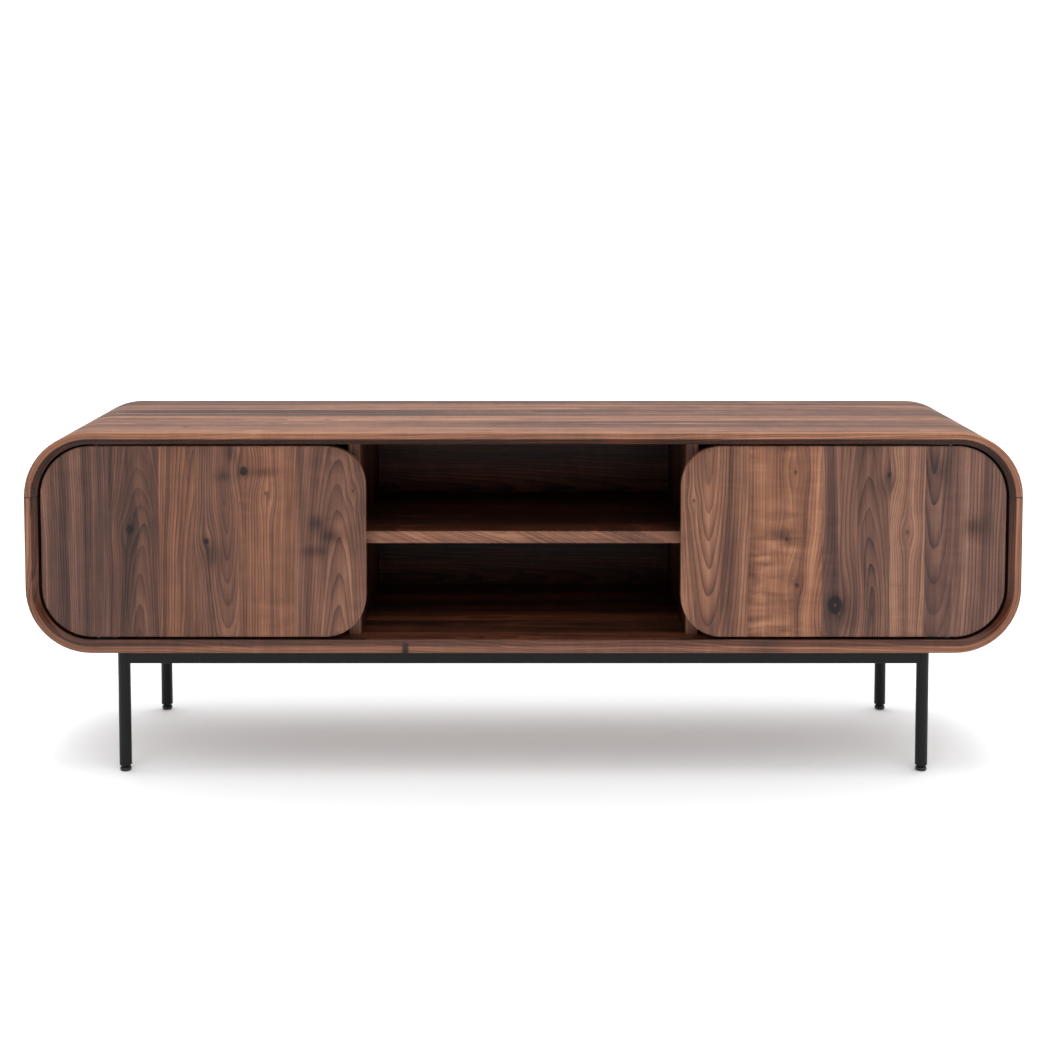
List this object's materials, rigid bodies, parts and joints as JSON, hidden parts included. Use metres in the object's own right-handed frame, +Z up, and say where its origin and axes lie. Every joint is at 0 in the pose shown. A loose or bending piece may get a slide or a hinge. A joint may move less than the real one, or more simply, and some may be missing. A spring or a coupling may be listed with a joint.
{
  "type": "media cabinet",
  "caption": "Low walnut media cabinet with rounded corners, two pivoting doors, an open centre bay with a shelf, and a black steel leg frame.",
  "frame": {"origin": "on the floor, under the middle of the case", "axes": "+X to the right seen from the front, +Y to the back, +Z up"},
  "size_m": [1.6, 0.4, 0.562],
  "materials": {
    "walnut_case": "satin varnish",
    "walnut_door": "satin varnish",
    "walnut_inside": "satin varnish",
    "beech": "raw",
    "black_steel": "satin black powder coat",
    "plated_steel": "zinc plated",
    "brass": "turned",
    "black_plastic": "fine grain",
    "nylon": "smooth"
  },
  "bodies": {
    "cabinet": {"back_panel": "walnut_inside", "back_panel_screws": "plated_steel", "bottom_shell": "walnut_case", "catch_screws": "plated_steel", "centre_shelf": "walnut_inside", "centre_shelf_dowels": "beech", "divider_dowels": "beech", "front_left_leg": "black_steel", "front_left_leg_insert": "black_plastic", "front_rail": "black_steel", "front_right_leg": "black_steel", "front_right_leg_insert": "black_plastic", "left_catch": "black_plastic", "left_divider": "walnut_inside", "left_inner_shelf": "walnut_inside", "left_pivot_pins": "plated_steel", "left_pivot_plates": "black_steel", "left_rail": "black_steel", "left_shelf_pins": "plated_steel", "left_thrust_washer": "nylon", "mounting_bolts": "plated_steel", "mounting_tabs": "black_steel", "pivot_plate_screws": "plated_steel", "rear_left_leg": "black_steel", "rear_left_leg_insert": "black_plastic", "rear_rail": "black_steel", "rear_right_leg": "black_steel", "rear_right_leg_insert": "black_plastic", "right_catch": "black_plastic", "right_divider": "walnut_inside", "right_inner_shelf": "walnut_inside", "right_pivot_pins": "plated_steel", "right_pivot_plates": "black_steel", "right_rail": "black_steel", "right_shelf_pins": "plated_steel", "right_thrust_washer": "nylon", "shell_dowels": "beech", "threaded_inserts": "brass", "top_shell": "walnut_case"},
    "left_door_leaf": {"left_door": "walnut_door", "left_door_bushes": "brass", "left_strike_plate": "plated_steel", "left_strike_screws": "plated_steel"},
    "right_door_leaf": {"right_door": "walnut_door", "right_door_bushes": "brass", "right_strike_plate": "plated_steel", "right_strike_screws": "plated_steel"},
    "front_left_foot": {"front_left_foot_stem": "black_steel", "front_left_glide": "black_plastic"},
    "front_right_foot": {"front_right_foot_stem": "black_steel", "front_right_glide": "black_plastic"},
    "rear_left_foot": {"rear_left_foot_stem": "black_steel", "rear_left_glide": "black_plastic"},
    "rear_right_foot": {"rear_right_foot_stem": "black_steel", "rear_right_glide": "black_plastic"}
  },
  "joints": [
    {"name": "left_door_hinge", "type": "hinge", "parent": "cabinet", "child": "left_door_leaf", "pos_m": [-0.687, -0.1784, 0.383], "axis": [0, 0, -1], "range_deg": [0, 100]},
    {"name": "right_door_hinge", "type": "hinge", "parent": "cabinet", "child": "right_door_leaf", "pos_m": [0.687, -0.1784, 0.383], "axis": [0, 0, 1], "range_deg": [0, 100]},
    {"name": "front_left_foot_screw", "type": "slide", "parent": "cabinet", "child": "front_left_foot", "axis": [0, 0, -1], "range_m": [0, 0.01]},
    {"name": "front_right_foot_screw", "type": "slide", "parent": "cabinet", "child": "front_right_foot", "axis": [0, 0, -1], "range_m": [0, 0.01]},
    {"name": "rear_left_foot_screw", "type": "slide", "parent": "cabinet", "child": "rear_left_foot", "axis": [0, 0, -1], "range_m": [0, 0.01]},
    {"name": "rear_right_foot_screw", "type": "slide", "parent": "cabinet", "child": "rear_right_foot", "axis": [0, 0, -1], "range_m": [0, 0.01]}
  ]
}
